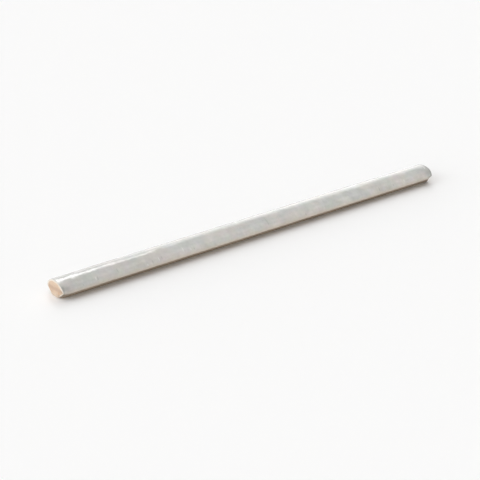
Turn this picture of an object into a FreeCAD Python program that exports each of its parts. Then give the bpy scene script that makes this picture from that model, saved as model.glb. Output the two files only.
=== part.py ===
import FreeCAD
import Part
import math
import os

# Rounded edge tile: one slim bar of fired clay with a domed, glazed face, lying on its flat back.
# X runs along the bar, Y across it and Z up. The viewer of the front stands at -Y.
# The origin is the middle of the back, on the surface that the bar lies on. Sizes are in millimetres.

# Overall size
length = 200.0
width = 12.5
height = 7.4

# Section: below its shoulders the bar leans in to a back that is narrower than its face
shoulder_height = 3.1
back_width = 5.6

# Roundings of the shoulders, of the back's long edges, and of the edges around both ends
shoulder_radius = 0.6
back_radius = 0.5
end_radius = 0.4

# An end's rounding keeps to this share of the tightest curve that it follows around the section
end_rounding_share = 0.75


def section_point(across, up):
    """Place a point of the section in the plane of the far left end."""
    return FreeCAD.Vector(-length / 2, across, up)


def rounded_corner(before, corner, after, radius):
    """Return the arc that rounds a corner between two straight runs, with the points it starts and ends at."""
    to_before = (before - corner).normalize()
    to_after = (after - corner).normalize()
    half_angle = to_before.getAngle(to_after) / 2
    run = radius / math.tan(half_angle)
    reach = radius / math.sin(half_angle) - radius
    start = corner + to_before * run
    middle = corner + (to_before + to_after).normalize() * reach
    end = corner + to_after * run
    return Part.Arc(start, middle, end).toShape(), start, end


def quarter_ellipse(start, corner, end):
    """Return a quarter of an ellipse from start to end, inside the corner of the box around it."""
    curve = Part.BezierCurve()
    curve.setPoles([start, corner, end])
    curve.setWeight(2, math.sqrt(0.5))
    return curve.toShape()


def straight(start, end):
    """Return a straight edge."""
    return Part.LineSegment(start, end).toShape()


def tile_section():
    """Return the section as a face, and the height at which the dome springs from the shoulders."""
    half_width = width / 2
    half_back = back_width / 2
    crown = section_point(0, height)
    edges = []
    springing = []
    for side in (1, -1):
        dome_corner = section_point(side * half_width, height)
        shoulder = section_point(side * half_width, shoulder_height)
        back_edge = section_point(side * half_back, 0)
        back_middle = section_point(0, 0)
        shoulder_arc, spring, lean_top = rounded_corner(dome_corner, shoulder, back_edge, shoulder_radius)
        back_arc, lean_foot, back_end = rounded_corner(shoulder, back_edge, back_middle, back_radius)
        edges += [quarter_ellipse(crown, dome_corner, spring), shoulder_arc]
        edges += [straight(lean_top, lean_foot), back_arc]
        springing.append(spring.z)
        if side == 1:
            right_back_end = back_end
        else:
            edges.append(straight(right_back_end, back_end))
    wire = Part.Wire(Part.__sortEdges__(edges))
    return Part.Face(wire), springing[0]


def end_rounding(spring_height):
    """Return the ends' radius, limited by the tightest curve of the section that it runs along."""
    half_width = width / 2
    rise = height - spring_height
    side_curve = rise ** 2 / half_width
    crown_curve = half_width ** 2 / rise
    tightest = min(shoulder_radius, back_radius, side_curve, crown_curve)
    return min(end_radius, end_rounding_share * tightest)


def edge_tile():
    """Return the whole tile: the section drawn out along the bar, with the edges of both ends rounded."""
    face, spring_height = tile_section()
    bar = face.extrude(FreeCAD.Vector(length, 0, 0))
    end_edges = []
    for edge in bar.Edges:
        box = edge.BoundBox
        if box.XLength < end_radius and abs(abs(box.Center.x) - length / 2) < end_radius:
            end_edges.append(edge)
    return bar.makeFillet(end_rounding(spring_height), end_edges)


os.makedirs("parts", exist_ok=True)
tile = edge_tile()
tile.exportStep("parts/edge_tile.step")
box = tile.BoundBox
print("edge_tile: %.2f x %.2f x %.2f mm, %.0f mm3" % (box.XLength, box.YLength, box.ZLength, tile.Volume))
print("valid:", tile.isValid(), "solids:", len(tile.Solids), "faces:", len(tile.Faces), "lowest:", round(box.ZMin, 6))
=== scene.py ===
# %% [markdown]
# # A glazed edge tile
# This file dresses one slim trim tile: a bar of fired clay, 200 mm long, with a domed face under an
# off-white glaze. It is bare at both ends, on the sides that lean in under the face, and on its back.
# The measured solid comes from the frame, and everything here is made around it, in metres.
#
# The steps are camera, surroundings, bar, relief, glaze and clay. Each one says what the real thing
# does first, because a setting is easier to choose when it stands for something.

# %% Load the measured tile
import math

import bmesh
import bpy
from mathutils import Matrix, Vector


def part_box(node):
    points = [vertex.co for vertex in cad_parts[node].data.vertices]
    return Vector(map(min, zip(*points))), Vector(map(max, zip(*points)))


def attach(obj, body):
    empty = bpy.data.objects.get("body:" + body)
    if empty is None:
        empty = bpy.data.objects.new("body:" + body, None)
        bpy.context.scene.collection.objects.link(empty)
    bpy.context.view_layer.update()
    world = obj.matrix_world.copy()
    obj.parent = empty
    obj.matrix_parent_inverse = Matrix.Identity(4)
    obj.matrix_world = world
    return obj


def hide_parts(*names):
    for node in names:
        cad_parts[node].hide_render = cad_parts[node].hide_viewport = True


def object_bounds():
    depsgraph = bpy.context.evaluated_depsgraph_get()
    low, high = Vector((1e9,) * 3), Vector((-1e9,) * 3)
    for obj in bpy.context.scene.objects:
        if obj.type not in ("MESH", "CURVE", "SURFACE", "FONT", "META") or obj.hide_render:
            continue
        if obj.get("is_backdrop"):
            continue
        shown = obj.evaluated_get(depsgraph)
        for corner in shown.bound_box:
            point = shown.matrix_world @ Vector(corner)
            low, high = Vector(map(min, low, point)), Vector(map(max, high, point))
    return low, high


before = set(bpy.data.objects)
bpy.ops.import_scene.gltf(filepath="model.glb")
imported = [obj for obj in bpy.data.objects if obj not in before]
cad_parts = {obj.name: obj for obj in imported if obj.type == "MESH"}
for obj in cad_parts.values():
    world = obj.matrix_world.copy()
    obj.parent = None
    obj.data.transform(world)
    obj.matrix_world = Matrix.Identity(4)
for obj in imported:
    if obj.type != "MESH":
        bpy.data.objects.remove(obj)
CAD_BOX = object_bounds()
MM = 0.001
LOW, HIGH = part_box("edge_tile")
print("the tile measures", [round(side / MM, 2) for side in HIGH - LOW], "mm")

# %% [markdown]
# ## The camera
# The picture was taken with a long lens, from above and to the left of the tile's front. The long edges
# of the tile run together only slightly, and that fixes how far away the camera stood. The place, the
# turn and the lens below were found by laying the tile's corners over the picture. A camera that isn't
# turned looks straight down, so it is tipped up by a quarter turn, less its pitch.

# %% Camera
CAMERA_PLACE = (-0.35244, -0.45195, 0.26315)
CAMERA_TURN = math.radians(37.28)
CAMERA_PITCH = math.radians(24.93)
QUARTER_TURN = math.pi / 2
SENSOR = 36
LENS = 109.3
NEAREST = 0.01
FARTHEST = 20

camera_data = bpy.data.cameras.new("camera")
camera_data.sensor_width = SENSOR
camera_data.lens = LENS
camera_data.clip_start = NEAREST
camera_data.clip_end = FARTHEST
camera = bpy.data.objects.new("camera", camera_data)
camera.location = CAMERA_PLACE
camera.rotation_euler = (QUARTER_TURN - CAMERA_PITCH, 0, -CAMERA_TURN)
bpy.context.scene.collection.objects.link(camera)
bpy.context.scene.camera = camera
bpy.context.scene.view_settings.view_transform = "Standard"
print("camera stands", round(camera.location.length, 3), "m from the tile")

# %% [markdown]
# ## Nodes written as sums
# Materials are small programs. Wiring them by hand takes a line for each node and link, so a number in
# a material is wrapped here in a class that knows +, -, * and /. An expression then adds its own Math
# nodes. Every other kind of node comes from one method, `node`, which sets the node's settings first,
# because they can change its sockets, and then its inputs, by value or by link.

# %% A class for numbers in a material
class Number:
    """The output of a node, a number that differs from place to place."""

    def __init__(self, recipe, socket):
        self.recipe = recipe
        self.socket = socket

    def maths(self, operation, *terms):
        return self.recipe.node("ShaderNodeMath", {"operation": operation}, dict(enumerate(terms))).number()

    def __add__(self, other):
        return self.maths("ADD", self, other)

    def __radd__(self, other):
        return self.maths("ADD", other, self)

    def __sub__(self, other):
        return self.maths("SUBTRACT", self, other)

    def __rsub__(self, other):
        return self.maths("SUBTRACT", other, self)

    def __mul__(self, other):
        return self.maths("MULTIPLY", self, other)

    def __rmul__(self, other):
        return self.maths("MULTIPLY", other, self)

    def __truediv__(self, other):
        return self.maths("DIVIDE", self, other)

    def size(self):
        """The number without its sign."""
        return self.maths("ABSOLUTE", self)

    def root(self):
        """The square root."""
        return self.maths("SQRT", self)

    def degrees_over(self, other):
        """The angle whose tangent is this number over the other, in degrees."""
        return self.maths("ARCTAN2", self, other) * math.degrees(1)

    def ramp(self, start, end):
        """0 before start, 1 after end, and a soft step between them. start may be the higher one."""
        settings = {"interpolation_type": "SMOOTHSTEP", "clamp": True}
        inputs = {"Value": self, "From Min": min(start, end), "From Max": max(start, end)}
        step = self.recipe.node("ShaderNodeMapRange", settings, inputs).number("Result")
        return step if start < end else 1 - step


# %% A class for the nodes of one material
# A Mix node has sockets for numbers, vectors and colours. These are the ones for colours.
FIRST_COLOUR = 6
SECOND_COLOUR = 7
MIXED_COLOUR = 2


class Node:
    """A node that was added, with its outputs by name."""

    def __init__(self, recipe, node):
        self.recipe = recipe
        self.node = node

    def out(self, name=0):
        return self.node.outputs[name]

    def number(self, name=0):
        return Number(self.recipe, self.out(name))


class Recipe:
    """The node tree of a material or of the world."""

    def __init__(self, tree):
        self.tree = tree
        tree.nodes.clear()

    def node(self, kind, settings=None, inputs=None):
        made = self.tree.nodes.new(kind)
        for name, value in (settings or {}).items():
            setattr(made, name, value)
        for name, value in (inputs or {}).items():
            self.feed(made.inputs[name], value)
        return Node(self, made)

    def feed(self, socket, value):
        if isinstance(value, Number):
            value = value.socket
        if isinstance(value, bpy.types.NodeSocket):
            self.tree.links.new(value, socket)
        else:
            socket.default_value = value

    def mix_colour(self, factor, first, second, blend="MIX"):
        settings = {"data_type": "RGBA", "blend_type": blend}
        inputs = {"Factor": factor, FIRST_COLOUR: first, SECOND_COLOUR: second}
        return self.node("ShaderNodeMix", settings, inputs).out(MIXED_COLOUR)

    def split(self, vector):
        parts = self.node("ShaderNodeSeparateXYZ", None, {"Vector": vector})
        return parts.number("X"), parts.number("Y"), parts.number("Z")


def grey(level):
    """A grey colour of that level."""
    return (level, level, level, 1)


# %% [markdown]
# ## The surroundings
# A glossy dome is a mirror as much as a coloured thing: most of what it shows is the room. The room
# here is a white tent, brightest overhead, with its open side towards the camera. The dim room shows
# there, over a pale strip of table. That is why the shadow under the tile's shoulder is so dark, though
# the light is soft.
#
# Lamps at a real distance would make the floor brighter on one side. The tent is therefore painted on
# the world, by direction, which lights every spot of the floor alike. What the bar mirrors depends on
# two numbers: how far along the bar a direction points, from -1 at the left to 1 at the right, and how
# high it stands in the plane across the bar, from 0 degrees at the back through 90 overhead to 180 at
# the front. The tent is painted in those. In a world, the Generated output of a Texture Coordinate node
# is the direction itself.

# %% Measures for the tent
world = bpy.data.worlds.new("tent")
bpy.context.scene.world = world
world.use_nodes = True
tent = Recipe(world.node_tree)
sideways, behind, upward = tent.split(tent.node("ShaderNodeTexCoord").out("Generated"))
rise = upward.degrees_over(behind)


def lay(glow, level, mask):
    """Lay a brighter or duller cloth over the tent where the mask is 1."""
    return glow + (level - glow) * mask


# %% [markdown]
# ## The cloths
# The tent is laid out like paper on paper: each cloth has a level of light, a soft edge, and covers what
# was there before. An edge gives the place where a cloth starts to show and the one where it covers
# fully. Behind the tile the tent is duller than overhead, and low down it is bright again. A bright
# cloth beyond the left end lights the clay of that end. A dim one beyond the right end keeps the shadow
# deep there.

# %% Cloths and their edges
OVERHEAD = 1.17
OPEN_SIDE = 0.07
OPEN_EDGE = (123, 101)
TABLE = 0.51
TABLE_EDGE = (137, 150)
BACK_CLOTH = 0.5
BACK_EDGE = (60, 40)
LOW_CLOTH = 1.4
LOW_EDGE = (28, 16)
LEFT_CLOTH = 2.3
LEFT_EDGE = (-0.6, -0.8)
RIGHT_CLOTH = 0.1
RIGHT_EDGE = (0.68, 0.78)

glow = lay(OPEN_SIDE, OVERHEAD, rise.ramp(*OPEN_EDGE))
glow = lay(glow, TABLE, rise.ramp(*TABLE_EDGE))
glow = lay(glow, BACK_CLOTH, rise.ramp(*BACK_EDGE))
glow = lay(glow, LOW_CLOTH, rise.ramp(*LOW_EDGE))
glow = lay(glow, LEFT_CLOTH, sideways.ramp(*LEFT_EDGE))
glow = lay(glow, RIGHT_CLOTH, sideways.ramp(*RIGHT_EDGE))
print("the tent glows", OVERHEAD, "overhead and", OPEN_SIDE, "on its open side")

# %% [markdown]
# ## What the crest mirrors
# A bright panel stands behind the tile on the left, and its reflection is the sharp white line along
# the crest near the left end. To its right is a dull gap, which lets the crest's edge show, and under
# the gap a pale wall, which gives the rest of the crest its soft white edge. The panel's foot and top
# and the top of the wall slant, so the line thins out toward its end, as it does on the real bar.
#
# A band of the tent is given by where it starts, where it ends and how blurred it is. A slant is given
# by a place sideways and by how many degrees the edge climbs for each unit sideways.

# %% Gap and wall
GAP = 0.8
GAP_SIDES = (0.39, 0.75, 0.04)
GAP_HEIGHT = (36, 60, 6)
WALL = 1.95
WALL_GAIN = 0.4
WALL_GAIN_EDGE = (0.52, 0.62)
WALL_SIDES = (0.47, 0.70, 0.05)
WALL_TOP = (46, 30)
WALL_SLANT = (0.55, 90)


def between(value, low, high, blur):
    """1 between two values and 0 outside them, with soft edges."""
    return value.ramp(low - blur, low + blur) * value.ramp(high + blur, high - blur)


def above_line(middle, slope):
    """The rise, less that of a line that climbs by that slope and is at 0 at that place sideways."""
    return rise - (sideways - middle) * slope


glow = lay(glow, GAP, between(sideways, *GAP_SIDES) * between(rise, *GAP_HEIGHT))
wall_level = WALL + sideways.ramp(*WALL_GAIN_EDGE) * WALL_GAIN
wall_mask = between(sideways, *WALL_SIDES) * above_line(*WALL_SLANT).ramp(*WALL_TOP)
glow = lay(glow, wall_level, wall_mask)
print("the gap glows", GAP, "and the wall", WALL, "to", WALL + WALL_GAIN)

# %% Panel
PANEL = 8.2
PANEL_LEFT = (0.33, 0.37)
PANEL_RIGHT = (0.59, 0.41)
PANEL_FOOT = (25, 36)
FOOT_SLANT = (0.437, 80)
PANEL_TOP = (60, 43)
TOP_SLANT = (0.448, -205)

panel_width = sideways.ramp(*PANEL_LEFT) * sideways.ramp(*PANEL_RIGHT)
panel_height = above_line(*FOOT_SLANT).ramp(*PANEL_FOOT) * above_line(*TOP_SLANT).ramp(*PANEL_TOP)
glow = lay(glow, PANEL, panel_width * panel_height)
print("the panel glows", PANEL)

# %% [markdown]
# ## The tent in its world
# The light that comes in low, over the table, is a little warm, and it tints the core of the shadow.
# The camera doesn't see the tent itself. It sees one plain, nearly white backdrop. The two shaders that
# are mixed have the same name as sockets, so the Mix Shader's sockets are given by number.

# %% Light and backdrop
TABLE_TINT = (1.0, 0.95, 0.90, 1)
BACKDROP = 0.972

tint_of_light = tent.mix_colour(rise.ramp(*TABLE_EDGE), grey(1), TABLE_TINT)
light = tent.node("ShaderNodeBackground", None, {"Color": tint_of_light, "Strength": glow})
backdrop = tent.node("ShaderNodeBackground", None, {"Color": grey(BACKDROP), "Strength": 1})
seen = tent.node("ShaderNodeLightPath").number("Is Camera Ray")
either = tent.node("ShaderNodeMixShader", None, {0: seen, 1: light.out(), 2: backdrop.out()})
tent.node("ShaderNodeOutputWorld", None, {"Surface": either.out()})
print("tent made of", len(world.node_tree.nodes), "nodes")

# %% [markdown]
# ## The floor
# The tile lies on plain white paper. It is matt and much wider than the picture, so that its edge is
# never seen and the shadow has something to fall on.

# %% Floor
FLOOR_SIZE = 8
FLOOR_COLOUR = 0.97

bpy.ops.object.select_all(action="DESELECT")
bpy.ops.mesh.primitive_plane_add(size=FLOOR_SIZE, location=(0, 0, 0))
floor = bpy.context.object
floor.name = "floor"
paper = bpy.data.materials.new("white_paper")
paper.use_nodes = True
paper_recipe = Recipe(paper.node_tree)
matt = paper_recipe.node("ShaderNodeBsdfDiffuse", None, {"Color": grey(FLOOR_COLOUR)})
paper_recipe.node("ShaderNodeOutputMaterial", None, {"Surface": matt.out()})
floor.data.materials.append(paper)
floor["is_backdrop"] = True
print("floor is", FLOOR_SIZE, "m wide")

# %% [markdown]
# ## The bar
# The clay is pressed in a mould and fired, so the bar has one section all along: a half ellipse over
# two shoulders, then sides that lean in to a narrow back. A curve swept along a line would give that
# section too. Here a block is cut and bevelled instead, because each cut is a size that can be checked.
#
# The block is a cube of the tile's own size. Its ends are opened, it is cut at the height of the
# shoulders and along its middle, and the back is narrowed.

# %% A block of the right size
SHOULDER_HEIGHT = 3.1 * MM
BACK_WIDTH = 5.6 * MM
WIDTH = HIGH.y - LOW.y
HEIGHT = HIGH.z - LOW.z
NEAR = 0.01 * MM
FACING = 0.9

bpy.ops.object.select_all(action="DESELECT")
bpy.ops.mesh.primitive_cube_add(size=1, location=(LOW + HIGH) / 2, scale=HIGH - LOW)
tile = bpy.context.object
tile.name = "glazed_tile"
tile.data.name = "glazed_tile"
bpy.ops.object.transform_apply(location=True, rotation=True, scale=True)
bpy.ops.object.mode_set(mode="EDIT")


def pick(kind, test):
    """In edit mode, select the edges or faces that pass a test, and nothing else."""
    bpy.ops.mesh.select_mode(type="FACE" if kind == "faces" else "EDGE")
    bpy.ops.mesh.select_all(action="DESELECT")
    shape = bmesh.from_edit_mesh(tile.data)
    chosen = [part for part in getattr(shape, kind) if test(part)]
    for part in chosen:
        part.select_set(True)
    shape.select_flush_mode()
    bmesh.update_edit_mesh(tile.data)
    return len(chosen)


def span(edge):
    """How far an edge reaches along, across and up."""
    return [abs(a - b) for a, b in zip(edge.verts[0].co, edge.verts[1].co)]


def runs_along(edge):
    """Does an edge run along the bar, and not across it?"""
    return span(edge)[0] > NEAR


def middle_of(edge):
    """The point halfway along an edge."""
    return (edge.verts[0].co + edge.verts[1].co) / 2


def on_back_edge(edge):
    """Does an edge lie on one of the two long edges of the back?"""
    return middle_of(edge).z < NEAR and abs(middle_of(edge).y) > WIDTH / 2 - NEAR


def cut(place, normal):
    """Cut the whole bar with a plane."""
    bpy.ops.mesh.select_all(action="SELECT")
    bpy.ops.mesh.bisect(plane_co=place, plane_no=normal)


ends = pick("faces", lambda face: abs(face.normal.x) > FACING)
bpy.ops.mesh.delete(type="ONLY_FACE")
cut((0, 0, SHOULDER_HEIGHT), (0, 0, 1))
cut((0, 0, 0), (0, 1, 0))
back_edges = pick("edges", on_back_edge)
bpy.ops.transform.resize(value=(1, BACK_WIDTH / WIDTH, 1), center_override=(0, 0, 0))
print("opened", ends, "ends and narrowed", back_edges, "back edges")

# %% [markdown]
# ## The section's curves
# A bevel turns a sharp edge into an arc. The shoulders and the back's long edges get small ones. The
# two top edges are bevelled by 100 percent of the faces beside them, which makes each a quarter of an
# ellipse from the shoulder up to the middle line. Both meet there, and their doubled points are merged.
#
# The order matters: the shoulders come first, because the dome springs from the top of their arcs.

# %% Shoulders, back edges and dome
SHOULDER_RADIUS = 0.6 * MM
BACK_RADIUS = 0.5 * MM
SHOULDER_STEPS = 5
BACK_STEPS = 4
DOME_STEPS = 24
ARC = 0.5
DOUBLED = NEAR / 10

lean = math.atan2((WIDTH - BACK_WIDTH) / 2, SHOULDER_HEIGHT)
shoulder_run = SHOULDER_RADIUS * math.tan(lean / 2)
back_run = BACK_RADIUS * math.tan((QUARTER_TURN - lean) / 2)


def bevel(steps, **reach):
    """Round the selected edges."""
    bpy.ops.mesh.bevel(segments=steps, profile=ARC, affect="EDGES", clamp_overlap=False, **reach)


def round_long_edges(test, steps, **reach):
    """Round the edges along the bar whose middle passes a test."""
    pick("edges", lambda edge: runs_along(edge) and test(middle_of(edge)))
    bevel(steps, **reach)


round_long_edges(
    lambda place: abs(place.z - SHOULDER_HEIGHT) < NEAR,
    SHOULDER_STEPS, offset_type="OFFSET", offset=shoulder_run,
)
round_long_edges(
    lambda place: place.z < NEAR and abs(place.y) > NEAR,
    BACK_STEPS, offset_type="OFFSET", offset=back_run,
)
round_long_edges(
    lambda place: HIGH.z - place.z < NEAR and abs(place.y) > NEAR,
    DOME_STEPS, offset_type="PERCENT", offset_pct=100,
)
bpy.ops.mesh.select_all(action="SELECT")
bpy.ops.mesh.remove_doubles(threshold=DOUBLED)
print("the sides lean by", round(math.degrees(lean), 1), "degrees")

# %% [markdown]
# ## The ends
# Each end is closed with a face and its rim is rounded. The flat stretches of the section are divided
# first, so that the rim and everything behind it has points about every half millimetre.

# %% Divide the flats, close the ends, round the rims
END_RADIUS = 0.375 * MM
RIM_STEPS = 4
FLAT = 1.5 * MM
LEAN_CUTS = 9
BACK_CUTS = 5


def is_flat_of_back(edge):
    """Does an edge cross the flat of the back?"""
    return not runs_along(edge) and span(edge)[1] > FLAT and middle_of(edge).z < NEAR


def at_end(edge, end):
    """Does an edge lie in the plane of that end?"""
    return not runs_along(edge) and abs(middle_of(edge).x - end) < NEAR


leans = pick("edges", lambda edge: not runs_along(edge) and span(edge)[2] > FLAT)
bpy.ops.mesh.subdivide(number_cuts=LEAN_CUTS)
backs = pick("edges", is_flat_of_back)
bpy.ops.mesh.subdivide(number_cuts=BACK_CUTS)
for end in (LOW.x, HIGH.x):
    pick("edges", lambda edge: at_end(edge, end))
    bpy.ops.mesh.edge_face_add()
rim_edges = pick("edges", lambda edge: at_end(edge, LOW.x) or at_end(edge, HIGH.x))
bevel(RIM_STEPS, offset_type="OFFSET", offset=END_RADIUS)
print("divided", leans, "leaning and", backs, "back edges; each rim has", rim_edges // 2, "edges")

# %% [markdown]
# ## Points for the relief
# A displaced surface can only bend where it has points. The long edges are divided twice, since one
# division is limited to a hundred cuts, and each end face is laid out as a grid.

# %% Divide the length and grid the ends
FIRST_CUTS = 24
SECOND_CUTS = 23
GRID_SPAN = 30
QUAD = 4

pick("edges", lambda edge: span(edge)[0] > HIGH.x)
bpy.ops.mesh.subdivide(number_cuts=FIRST_CUTS)
pick("edges", lambda edge: span(edge)[0] > MM)
bpy.ops.mesh.subdivide(number_cuts=SECOND_CUTS)
pick("faces", lambda face: len(face.verts) > QUAD)
bpy.ops.mesh.delete(type="ONLY_FACE")
for end in (LOW.x, HIGH.x):
    pick("edges", lambda edge: at_end(edge, end))
    bpy.ops.mesh.fill_grid(span=GRID_SPAN, offset=0, use_interp_simple=True)
bpy.ops.mesh.select_all(action="SELECT")
bpy.ops.mesh.normals_make_consistent(inside=False)
print("the length is divided into", (FIRST_CUTS + 1) * (SECOND_CUTS + 1), "parts")

# %% [markdown]
# ## Worn corners
# The lower front corner of each end is knocked off a little, as the first corner to meet a table often
# is. Proportional editing does that by hand: a few edges of the rim are grabbed and pushed in, and the
# points around them follow, less and less with distance. Heights, pushes and reaches are in
# millimetres.

# %% Push the corners in
WORN = [
    {"end": LOW.x, "low": 0.3, "high": 3.2, "push": (0.25, 0.75, 0.30), "reach": 2.3},
    {"end": HIGH.x, "low": 1.8, "high": 4.0, "push": (-0.30, 0.30, 0.60), "reach": 2.4},
]


def on_front_rim(place, end):
    """Does a place lie on the rim of that end, on the front side that leans in?"""
    side = -BACK_WIDTH / 2 - place.z * math.tan(lean)
    return abs(place.x - end) < END_RADIUS and place.y < max(side, LOW.y) + END_RADIUS


def is_worn(edge, corner):
    """Does an edge lie on the front rim, between the heights of that worn corner?"""
    place = middle_of(edge)
    return corner["low"] * MM < place.z < corner["high"] * MM and on_front_rim(place, corner["end"])


for corner in WORN:
    count = pick("edges", lambda edge: is_worn(edge, corner))
    bpy.ops.transform.translate(
        value=[step * MM for step in corner["push"]],
        use_proportional_edit=True,
        proportional_edit_falloff="SMOOTH",
        proportional_size=corner["reach"] * MM,
    )
    print("pushed in", count, "edges of the rim")
bpy.ops.object.mode_set(mode="OBJECT")
print("the bar has", len(tile.data.vertices), "points and", len(tile.data.polygons), "faces")

# %% [markdown]
# ## Relief
# Glaze is a glass that ran while it was hot, so the dome is never quite even: it swells and sinks by a
# few hundredths of a millimetre over five to fifteen millimetres, and that is what makes the highlight
# wander. It also drew back a little at the left end. The bare clay is drier and rougher, and it lies a
# little deeper than the glaze that stops above it.
#
# A Displace modifier moves each point along its normal, by its strength times what the pattern says
# above its middle level. A pattern goes from 0 to 1, so with a middle level of 1 it only presses inward,
# and the tile stays inside its measured size. With no pattern, Blender takes 1 everywhere, and a middle
# level of 2 presses evenly. A vertex group says where each modifier acts.

# %% Helpers for the relief
SPRING_HEIGHT = SHOULDER_HEIGHT + shoulder_run
DOME_RISE = HEIGHT - SPRING_HEIGHT
GLAZE_FADE = 0.25 * MM
END_SLACK = 0.05 * MM
INWARD_BY_PATTERN = 1
INWARD_EVENLY = 2


def soft_step(value, start, end):
    """0 at start, 1 at end, and a soft step between them."""
    share = min(1.0, max(0.0, (value - start) / (end - start)))
    return share * share * (3 - 2 * share)


def weigh(name, weight):
    """Make a vertex group whose weight follows from each point's place."""
    group = tile.vertex_groups.new(name=name)
    for point in tile.data.vertices:
        value = weight(point.co)
        if value > 0:
            group.add([point.index], value, "REPLACE")


def press(name, depth, grain=None, stretch=(1, 1, 1), detail=2, contrast=1.0):
    """Press the points of the vertex group of that name inward, evenly or by a cloudy pattern."""
    modifier = tile.modifiers.new(name, "DISPLACE")
    modifier.vertex_group = name
    modifier.strength = depth
    modifier.mid_level = INWARD_BY_PATTERN if grain else INWARD_EVENLY
    if grain:
        clouds = bpy.data.textures.new(name, "CLOUDS")
        clouds.noise_scale = grain
        clouds.noise_depth = detail
        clouds.contrast = contrast
        guide = bpy.data.objects.new(name, None)
        bpy.context.scene.collection.objects.link(guide)
        guide.scale = stretch
        bpy.context.view_layer.update()
        modifier.texture = clouds
        modifier.texture_coords = "OBJECT"
        modifier.texture_coords_object = guide
    before = [point.co.copy() for point in tile.data.vertices]
    bpy.ops.object.modifier_apply(modifier=name)
    if grain:
        bpy.data.objects.remove(guide)
        bpy.data.textures.remove(clouds)
    moved = max((point.co - old).length for point, old in zip(tile.data.vertices, before))
    print(name, "moved points by up to", round(moved / MM, 3), "mm")


def on_end(place):
    """Is this point on an end face, inside its rim?"""
    return abs(abs(place.x) - HIGH.x) < END_SLACK


def glazed(place):
    """1 on the dome, falling to 0 just under the shoulders."""
    return 0.0 if on_end(place) else soft_step(place.z, SHOULDER_HEIGHT - GLAZE_FADE, SHOULDER_HEIGHT)


def fades_to_left_end(place, length):
    """1 at the glaze of the left end, falling to 0 over that length."""
    return glazed(place) * soft_step(-place.x, HIGH.x - length, HIGH.x)


# %% Glaze that ran, and drew back at the left end
END_FALL_LENGTH = 3.5 * MM
END_LIP_LENGTH = 1.2 * MM

for layer in ("glaze_waves", "glaze_dapple", "glaze_skin"):
    weigh(layer, glazed)
weigh("end_fall", lambda place: fades_to_left_end(place, END_FALL_LENGTH))
weigh("end_lip", lambda place: fades_to_left_end(place, END_LIP_LENGTH))
weigh("bare_sides", lambda place: 0.0 if on_end(place) else 1 - glazed(place))
weigh("clay_end", lambda place: 1.0 if on_end(place) else 0.0)

bpy.ops.object.select_all(action="DESELECT")
tile.select_set(True)
bpy.context.view_layer.objects.active = tile
press("glaze_waves", 0.12 * MM, grain=4.5 * MM, stretch=(1.8, 1, 1), detail=1, contrast=1.3)
press("glaze_dapple", 0.05 * MM, grain=2.4 * MM, detail=1, contrast=1.2)
press("glaze_skin", 0.02 * MM, grain=1.1 * MM, detail=1)
press("end_fall", 0.05 * MM)
press("end_lip", 0.03 * MM)
press("bare_sides", 0.10 * MM, grain=0.9 * MM, detail=3, contrast=1.4)
press("clay_end", 0.10 * MM, grain=1.6 * MM, detail=4, contrast=1.4)
bpy.ops.object.shade_smooth()

# %% [markdown]
# ## Glaze and clay in one finish
# The glaze is melted onto the clay, so the tile is one piece with one finish, and masks say which of
# the two shows. A point's place tells everything the masks need: its height, its distance from the
# ends, and how close it lies to the outline of the section. In the finish every length is in
# millimetres.
#
# `patches` gives cloudy noise of a stated width. A stretch makes the clouds longer in one direction, as
# runs of glaze are. `sway` is the same noise around 0, for what goes both ways from its middle.

# %% Patterns
PER_MM = 1 / MM
SPECK_CORE = 0.35
SPOT_CORE = 0.2
NOISE_MIDDLE = 0.5

finish = bpy.data.materials.new("glazed_clay")
finish.use_nodes = True
glaze = Recipe(finish.node_tree)
object_place = glaze.node("ShaderNodeTexCoord").out("Object")


def mapped(factors, shift):
    """The place of a point, times a factor and plus a shift along each axis."""
    inputs = {"Vector": object_place, "Scale": factors, "Location": shift}
    return glaze.node("ShaderNodeMapping", None, inputs).out()


def measured(scale=1.0, stretch=(1, 1, 1), offset=(0, 0, 0)):
    """The place of a point in millimetres, divided by a scale and a stretch."""
    return mapped([PER_MM / scale / along for along in stretch], offset)


def patches(scale, stretch=(1, 1, 1), offset=(0, 0, 0), detail=2.0, roughness=0.5):
    """Cloudy patches about that many millimetres wide, from 0 to 1."""
    there = measured(scale, stretch, offset)
    inputs = {"Vector": there, "Scale": 1.0, "Detail": detail, "Roughness": roughness}
    return glaze.node("ShaderNodeTexNoise", {"noise_dimensions": "3D"}, inputs).number("Fac")


def sway(scale, **settings):
    """Cloudy patches that go from -0.5 to 0.5."""
    return patches(scale, **settings) - NOISE_MIDDLE


def specks(spacing, radius, offset=(0, 0, 0)):
    """1 at the middle of round specks of that radius, scattered that far apart, and 0 around them."""
    inputs = {"Vector": measured(spacing, offset=offset), "Scale": 1.0, "Randomness": 1.0}
    from_middle = glaze.node("ShaderNodeTexVoronoi", {"feature": "F1"}, inputs).number("Distance")
    return from_middle.ramp(radius / spacing, SPECK_CORE * radius / spacing)


def spot(centre, reach):
    """1 at a centre, falling to 0 at a reach along each axis."""
    factors = [PER_MM / length for length in reach]
    shift = [-along / length for along, length in zip(centre, reach)]
    from_centre = glaze.node("ShaderNodeVectorMath", {"operation": "LENGTH"}, {0: mapped(factors, shift)})
    return from_centre.number("Value").ramp(1.0, SPOT_CORE)


def tint(colour, red, green, blue):
    """Multiply a colour by a number for each of its parts."""
    factors = glaze.node("ShaderNodeCombineColor", None, {"Red": red, "Green": green, "Blue": blue}).out()
    return glaze.mix_colour(1.0, colour, factors, blend="MULTIPLY")


# %% Measures for the masks
HALF_WIDTH = WIDTH / 2 / MM
SPRING = SPRING_HEIGHT / MM
DOME = DOME_RISE / MM

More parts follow.
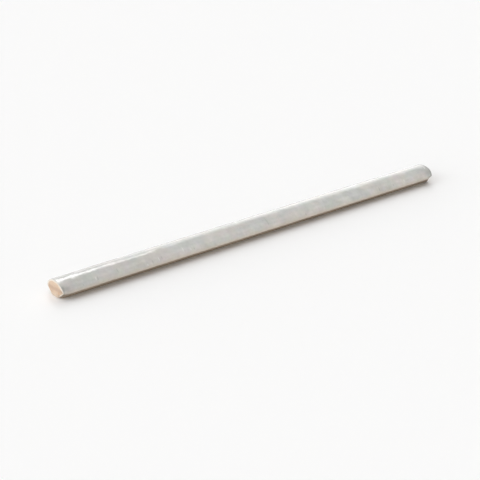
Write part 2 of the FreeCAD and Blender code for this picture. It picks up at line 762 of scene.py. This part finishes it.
x, y, z = glaze.split(measured())
from_end = HIGH.x / MM - x.size()
across = y / HALF_WIDTH
up = (z - SPRING) / DOME
ring = (across * across + up * up).root()
from_side = (y + BACK_WIDTH / 2 / MM) * math.cos(lean) + z * math.sin(lean)
wander = sway(2.2, detail=3.0)
print("the dome springs", round(SPRING, 2), "mm above the back and rises by", round(DOME, 2), "mm")

# %% [markdown]
# ## Where the glaze stops
# Along the bar the glaze stops at the shoulders. At the ends it wraps round the rim and stops on the end
# face, just inside the outline of the section, where it is thin and cream. Every edge of it wanders a
# little, as the edge of a melt does, so the same noise is added to each measure before its ramp.
#
# The left end has two marks of its own. Its rim is wider by the front shoulder, so the cut is taken to
# lie further in there. And a worn strip of glaze runs on down the edge of the leaning side.

# %% Distance from the cut
WIDE_RIM = 0.6
WIDE_RIM_CENTRE = (-100, -5.3, 2.8)
WIDE_RIM_REACH = (1.4, 2.6, 3.2)

from_cut = from_end - spot(WIDE_RIM_CENTRE, WIDE_RIM_REACH) * WIDE_RIM
print("the rim is wider by", WIDE_RIM, "mm at", WIDE_RIM_CENTRE)

# %% Glaze, as far as the end faces and the shoulders
# The core is measured in shares of the dome: 0 at the middle of its base and 1 at its surface or top.
CORE = (0.86, 0.80)
CORE_WANDER = 0.05
CORE_TOP = (0.84, 0.78)
CORE_TOP_WANDER = 0.12
END_FACE = (0.35, 0.25)
LOWEST_GLAZE = (2.86, 2.98)
LOWEST_WANDER = 0.35

clay_core = (ring + wander * CORE_WANDER).ramp(*CORE) * (up + wander * CORE_TOP_WANDER).ramp(*CORE_TOP)
covers_end = 1 - clay_core * from_cut.ramp(*END_FACE)
covers_side = (z + wander * LOWEST_WANDER).ramp(*LOWEST_GLAZE)
print("the glaze stops", LOWEST_GLAZE[0], "to", LOWEST_GLAZE[1], "mm above the back")

# %% Cream rim and worn strip
RIM = (0.32, 0.18)
STRIP = (1.20, 1.00)
STRIP_WANDER = 0.3
STRIP_ALONG = (-98.95, -99.3)
STRIP_FOOT = (0.6, 1.6)


def either_of(mask, other):
    """1 where one mask or the other is 1."""
    return mask + (1 - mask) * other


strip = (from_side + wander * STRIP_WANDER).ramp(*STRIP) * x.ramp(*STRIP_ALONG) * z.ramp(*STRIP_FOOT)
glaze_mask = either_of(covers_end * covers_side, strip)
rim = either_of(from_cut.ramp(*RIM), strip)
print("the strip is", STRIP[1], "to", STRIP[0], "mm wide")

# %% [markdown]
# ## The colour of the glaze
# An off-white glaze over warm clay is never one colour. It is mottled: pinkish and greenish clouds,
# broad and fine patches that are lighter or darker, and faint runs down the slope of the dome. Over
# that, painted shade makes it darkest along the crest and painted light makes it lighter down the
# slope, in steps that are given by the heights between which each one sets in and by its share.

# %% Mottled glaze
THICK = (0.560, 0.572, 0.546, 1)
WARM = (0.610, 0.583, 0.549, 1)
FINE_SHARE = 0.18
BROAD_SHARE = 0.36
RUNS_SHARE = 0.16
HUE_SHARES = (0.07, -0.05, 0.15)
# Painted shade of the slope: its level at the crest, then for each lighter step the heights where it starts
# and ends, and its share.
PAINTED_SLOPE_BASE = 0.955
PAINTED_SLOPE_STEPS = [(7.4, 6.9, 0.03), (6.8, 5.6, 0.215), (5.8, 4.6, 0.06)]
CLOUD_EDGE = (0.36, 0.64)
WITH_RUNS = (0.42, 0.60)


def tell(what):
    """Say how far the finish has grown."""
    print(what, "brings the finish to", len(finish.node_tree.nodes), "nodes")


clouds = patches(7, stretch=(1.4, 1, 1)).ramp(*CLOUD_EDGE)
fine = sway(1.4, detail=3.0, roughness=0.6, offset=(7, 3, 1))
broad = sway(4.0, offset=(2, 8, 5))
runs = sway(1.0, stretch=(1, 4, 4), offset=(4, 0, 0))
runs = runs * patches(9, offset=(9, 9, 1)).ramp(*WITH_RUNS)
hue = sway(4.5, offset=(5, 1, 9))

# Painted shade and light: darker along the crest, painted lighter down the front of the dome.
painted_slope_shade = PAINTED_SLOPE_BASE
for top, foot, share in PAINTED_SLOPE_STEPS:
    painted_slope_shade = painted_slope_shade + z.ramp(top, foot) * share
shade = painted_slope_shade * (1 + fine * FINE_SHARE + broad * BROAD_SHARE + runs * RUNS_SHARE)
glaze_colour = glaze.mix_colour(clouds, THICK, WARM)
glaze_colour = tint(glaze_colour, *[shade * (1 + hue * share) for share in HUE_SHARES])
tell("the mottled glaze")

# %% [markdown]
# ## Thin and thick glaze
# Where the glaze runs thin over the lower edge, the warm clay shows through. It is cooler and greyer
# where it lies thick: at both ends, where it gathered before it stopped, toward the left end, and high
# on the dome near the right end. A broken dark line marks where it stopped, but not along the crest of
# the left end; it is partly the glaze's own edge and partly painted shade on the rounded rim.

# %% Thin edge and thick ends
THIN = (0.66, 0.575, 0.475, 1)
POOLED_AND_SHADED = (0.302, 0.313, 0.299, 1)
THIN_SHARE = 0.75
THIN_WANDER = 0.9
THIN_HEIGHT = (4.9, 3.1)
END_SHARE = 0.38
END_WANDER = 2.0
END_LENGTH = (6.0, 0.8)
BELOW_CREST = (6.9, 5.9)
LEFT_SHARE = 0.12
LEFT_STRETCH = (-40, -85)
RIGHT_SHARE = 0.20
RIGHT_STRETCH = (86, 97)
RIGHT_HEIGHT = (5.0, 5.8)

low_edge = (z + wander * THIN_WANDER).ramp(*THIN_HEIGHT)
glaze_colour = glaze.mix_colour(low_edge * THIN_SHARE, glaze_colour, THIN)
gathered = (from_end + wander * END_WANDER).ramp(*END_LENGTH) * END_SHARE * z.ramp(*BELOW_CREST)
gathered = gathered + x.ramp(*LEFT_STRETCH) * LEFT_SHARE
gathered = gathered + x.ramp(*RIGHT_STRETCH) * z.ramp(*RIGHT_HEIGHT) * RIGHT_SHARE
glaze_colour = glaze.mix_colour(gathered, glaze_colour, POOLED_AND_SHADED)
tell("thin and thick glaze")

# %% The line where the glaze stopped, partly painted shade
LINE_SHARE = 0.6
LINE_WANDER = 0.8
LINE_LENGTH = (1.5, 0.8)
LINE_LEAST = 0.5
LINE_BREAKS = (0.40, 0.60)
LEFT_CREST = (5.6, 6.7)
LEFT_HALF = (1, -1)

broken = patches(0.9, offset=(1, 4, 6)).ramp(*LINE_BREAKS) * (1 - LINE_LEAST) + LINE_LEAST
# Partly the glaze's own edge, partly painted shade where the rounded rim turns away from the light.
end_line_and_shade = (from_end + wander * LINE_WANDER).ramp(*LINE_LENGTH) * broken
end_line_and_shade = end_line_and_shade * (1 - z.ramp(*LEFT_CREST) * x.ramp(*LEFT_HALF))
glaze_colour = glaze.mix_colour(end_line_and_shade * LINE_SHARE, glaze_colour, POOLED_AND_SHADED)
tell("the line at the ends")

# %% [markdown]
# ## Painted glints and shade on the glaze
# Here and there a tiny ridge on the slope catches or loses the light. Its glint and its shade are
# painted on as lighter and darker marks. There are few of them, and each one shows, so they are listed
# one by one: millimetres along the bar from its middle, degrees down the front of the dome, and length in
# millimetres.

# %% Places of the painted glints and shade
PAINTED_GLINT = (0.88, 0.88, 0.85, 1)
PAINTED_GLINT_SHARE = 0.8
PAINTED_SHADE_SHARE = 0.30
PAINTED_MARK_WIDTH = 0.38
PAINTED_GLINTS = [
    (-84.2, 46, 0.9), (-59.8, 62, 0.6), (-54.0, 48, 1.1), (-41.6, 40, 1.2), (-38.0, 50, 0.6),
    (82.5, 46, 0.9), (98.0, 14, 0.5), (98.3, 66, 0.5),
]
PAINTED_SHADE_MARKS = [
    (-90.3, 60, 0.6), (-83.3, 46, 1.0), (-73.8, 38, 1.2), (-57.2, 52, 1.1), (-52.5, 44, 0.9),
    (-36.4, 52, 0.6), (3.0, 30, 2.2), (23.5, 60, 0.8), (67.0, 48, 1.3), (75.5, 50, 0.7),
    (99.2, 34, 1.0), (99.0, 58, 0.7), (97.8, 74, 0.5),
]


def painted_mark_mask(along, tilt, length):
    """A small painted glint or painted shade on the front of the dome."""
    tilt = math.radians(tilt)
    turn = math.atan2(DOME * math.cos(tilt), HALF_WIDTH * math.sin(tilt))
    centre = (along, -HALF_WIDTH * math.cos(turn), SPRING + DOME * math.sin(turn))
    return spot(centre, (PAINTED_MARK_WIDTH, 2 * length, length))


# Painted highlights: lighter marks where a tiny ridge would catch the light.
for listed_mark in PAINTED_GLINTS:
    glaze_colour = glaze.mix_colour(painted_mark_mask(*listed_mark) * PAINTED_GLINT_SHARE, glaze_colour, PAINTED_GLINT)
# Painted shade: darker marks in the colour of the pooled glaze.
for listed_mark in PAINTED_SHADE_MARKS:
    glaze_colour = glaze.mix_colour(painted_mark_mask(*listed_mark) * PAINTED_SHADE_SHARE, glaze_colour, POOLED_AND_SHADED)
print("placed", len(PAINTED_GLINTS), "pale and", len(PAINTED_SHADE_MARKS), "dark runs")

# %% [markdown]
# ## Pinholes and rim
# Gas that left the clay in the kiln pricked a few pinholes in the glaze, and the brown of the clay
# shows in them. The thin rim at the ends is cream, and its worn strip is a little browner.

# %% Pinholes and the cream rim
SPECK = (0.33, 0.27, 0.22, 1)
CREAM = (0.74, 0.69, 0.62, 1)
PINHOLE_SPACING = 5.5
PINHOLE_RADIUS = 0.26
PINHOLE_SHARE = 0.5
STRIP_SHARE = 0.45

pinholes = specks(PINHOLE_SPACING, PINHOLE_RADIUS, offset=(3, 3, 3))
glaze_colour = glaze.mix_colour(pinholes * PINHOLE_SHARE, glaze_colour, SPECK)
glaze_colour = glaze.mix_colour(rim, glaze_colour, CREAM)
glaze_colour = glaze.mix_colour(strip * STRIP_SHARE, glaze_colour, THIN)
tell("pinholes and rim")

# %% [markdown]
# ## The colour of the clay
# The ends were cut, and show fresh sandy clay with a darker band across it, a pale foot, and on the
# left one a small spot that is redder. The sides that lean in under the face, and the back, are painted
# a darker, duller clay: painted shade under the overhang.

# %% The cut ends
SAND = (0.65, 0.505, 0.38, 1)
BURNT = (0.51, 0.37, 0.275, 1)
GLOWING = (0.60, 0.38, 0.235, 1)
PALE_FOOT = (0.63, 0.53, 0.43, 1)
TONE_SHARE = 0.6
BAND_SHARE = 0.9
BAND_HEIGHT = 3.75
BAND_SLOPE = -0.10
BAND_WANDER = 1.2
BAND_WIDTH = (1.3, 0.3)
GLOW_SHARE = 0.6
GLOW_CENTRE = (-100, -2.6, 2.64)
GLOW_REACH = (3, 0.8, 1.3)
FOOT_SHARE = 0.7
FOOT_WANDER = 0.8
FOOT_HEIGHT = (1.6, 0.8)
TONE_EDGE = (0.34, 0.74)

clay_tone = patches(2.2, detail=4.0, roughness=0.6, offset=(3, 9, 4)).ramp(*TONE_EDGE)
clay_colour = glaze.mix_colour(clay_tone * TONE_SHARE, SAND, BURNT)
# A darker band across each cut end, sloping a little across the width.
dark_band = (z - BAND_HEIGHT - y * BAND_SLOPE + wander * BAND_WANDER).size().ramp(*BAND_WIDTH)
clay_colour = glaze.mix_colour(dark_band * BAND_SHARE, clay_colour, BURNT)
clay_colour = glaze.mix_colour(spot(GLOW_CENTRE, GLOW_REACH) * GLOW_SHARE, clay_colour, GLOWING)
foot = (z + wander * FOOT_WANDER).ramp(*FOOT_HEIGHT)
clay_colour = glaze.mix_colour(foot * FOOT_SHARE, clay_colour, PALE_FOOT)
tell("the clay of the ends")

# %% Painted shade on the leaning sides, and the pores
# The leaning sides and the back get a darker clay as painted shade under the overhang.
SHADED_SIDE_CLAY = (0.45, 0.365, 0.27, 1)
PORE = (0.34, 0.24, 0.17, 1)
SIDE_SHADE_LEAST = 0.73
DUST_SHARE = 0.24
DUST_EDGE = (0.25, 0.75)
PAINTED_FOOT_LIGHT = (1.6, 0.6)
PAINTED_FOOT_LIGHT_SHARE = 0.26
PAINTED_END_SHADE = (7, 2)
PAINTED_END_SHADE_SHARE = 0.22
BLUE_LIFT = 0.02
SHADED_SIDE_FROM = (0.15, 0.45)
PORE_SPACING = 1.1
PORE_RADIUS = 0.11
PORE_SHARE = 0.55

dust = patches(3.0, stretch=(3, 1, 1), detail=4.0, offset=(6, 2, 2)).ramp(*DUST_EDGE)
# Random patches, with painted light towards the foot and painted shade within a few millimetres of each
# end.
dust_and_painted_shade = dust * DUST_SHARE + z.ramp(*PAINTED_FOOT_LIGHT) * PAINTED_FOOT_LIGHT_SHARE + SIDE_SHADE_LEAST
dust_and_painted_shade = dust_and_painted_shade * (1 - from_end.ramp(*PAINTED_END_SHADE) * PAINTED_END_SHADE_SHARE)
shaded_side_colour = tint(SHADED_SIDE_CLAY, dust_and_painted_shade, dust_and_painted_shade, dust_and_painted_shade + BLUE_LIFT)
clay_colour = glaze.mix_colour(from_cut.ramp(*SHADED_SIDE_FROM), clay_colour, shaded_side_colour)
pores = specks(PORE_SPACING, PORE_RADIUS)
clay_colour = glaze.mix_colour(pores * PORE_SHARE, clay_colour, PORE)
tell("the clay of the sides")

# %% [markdown]
# ## The finish
# Both colours meet in one shader. The glaze is smooth glass with the faintest ripple, and the clay is
# matt and gritty. The relief of the mesh gives the large forms, and the bump adds only what is finer
# than the mesh can hold. Heights in the bump are in millimetres.

# %% The shader
CLAY_ROUGHNESS = 0.88
GLAZE_ROUGHNESS = 0.12
GLASS_IOR = 1.5
RIPPLE_HEIGHT = 0.010
PINHOLE_DEPTH = 0.03
GRIT_HEIGHT = 0.12
PORE_DEPTH = 0.06
RIM_DULLNESS = 0.8

ripple = patches(1.1, offset=(2, 2, 8)) * RIPPLE_HEIGHT - pinholes * PINHOLE_DEPTH
grit = patches(0.22, detail=4.0, roughness=0.65) * GRIT_HEIGHT - pores * PORE_DEPTH
gloss = glaze_mask * (1 - rim * RIM_DULLNESS)
height = gloss * ripple + (1 - gloss) * grit
bump = glaze.node("ShaderNodeBump", None, {"Height": height, "Distance": MM, "Strength": 1.0})
shader = glaze.node("ShaderNodeBsdfPrincipled", None, {
    "Base Color": glaze.mix_colour(glaze_mask, clay_colour, glaze_colour),
    "Roughness": CLAY_ROUGHNESS - gloss * (CLAY_ROUGHNESS - GLAZE_ROUGHNESS),
    "IOR": GLASS_IOR,
    "Normal": bump.out(),
})
glaze.node("ShaderNodeOutputMaterial", None, {"Surface": shader.out()})
tile.data.materials.append(finish)
print("finish made of", len(finish.node_tree.nodes), "nodes")

# %% [markdown]
# ## Hand the tile over
# The dressed bar stands for the measured one and rides on its body. Its box has to lie inside the
# measured one, so both are printed.

# %% Hand over
tile.vertex_groups.clear()
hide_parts("edge_tile")
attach(tile, "root")

low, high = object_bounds()
for name, corners in (("CAD box", CAD_BOX), ("visual box", (low, high))):
    print(name, [round(side / MM, 3) for corner in corners for side in corner])
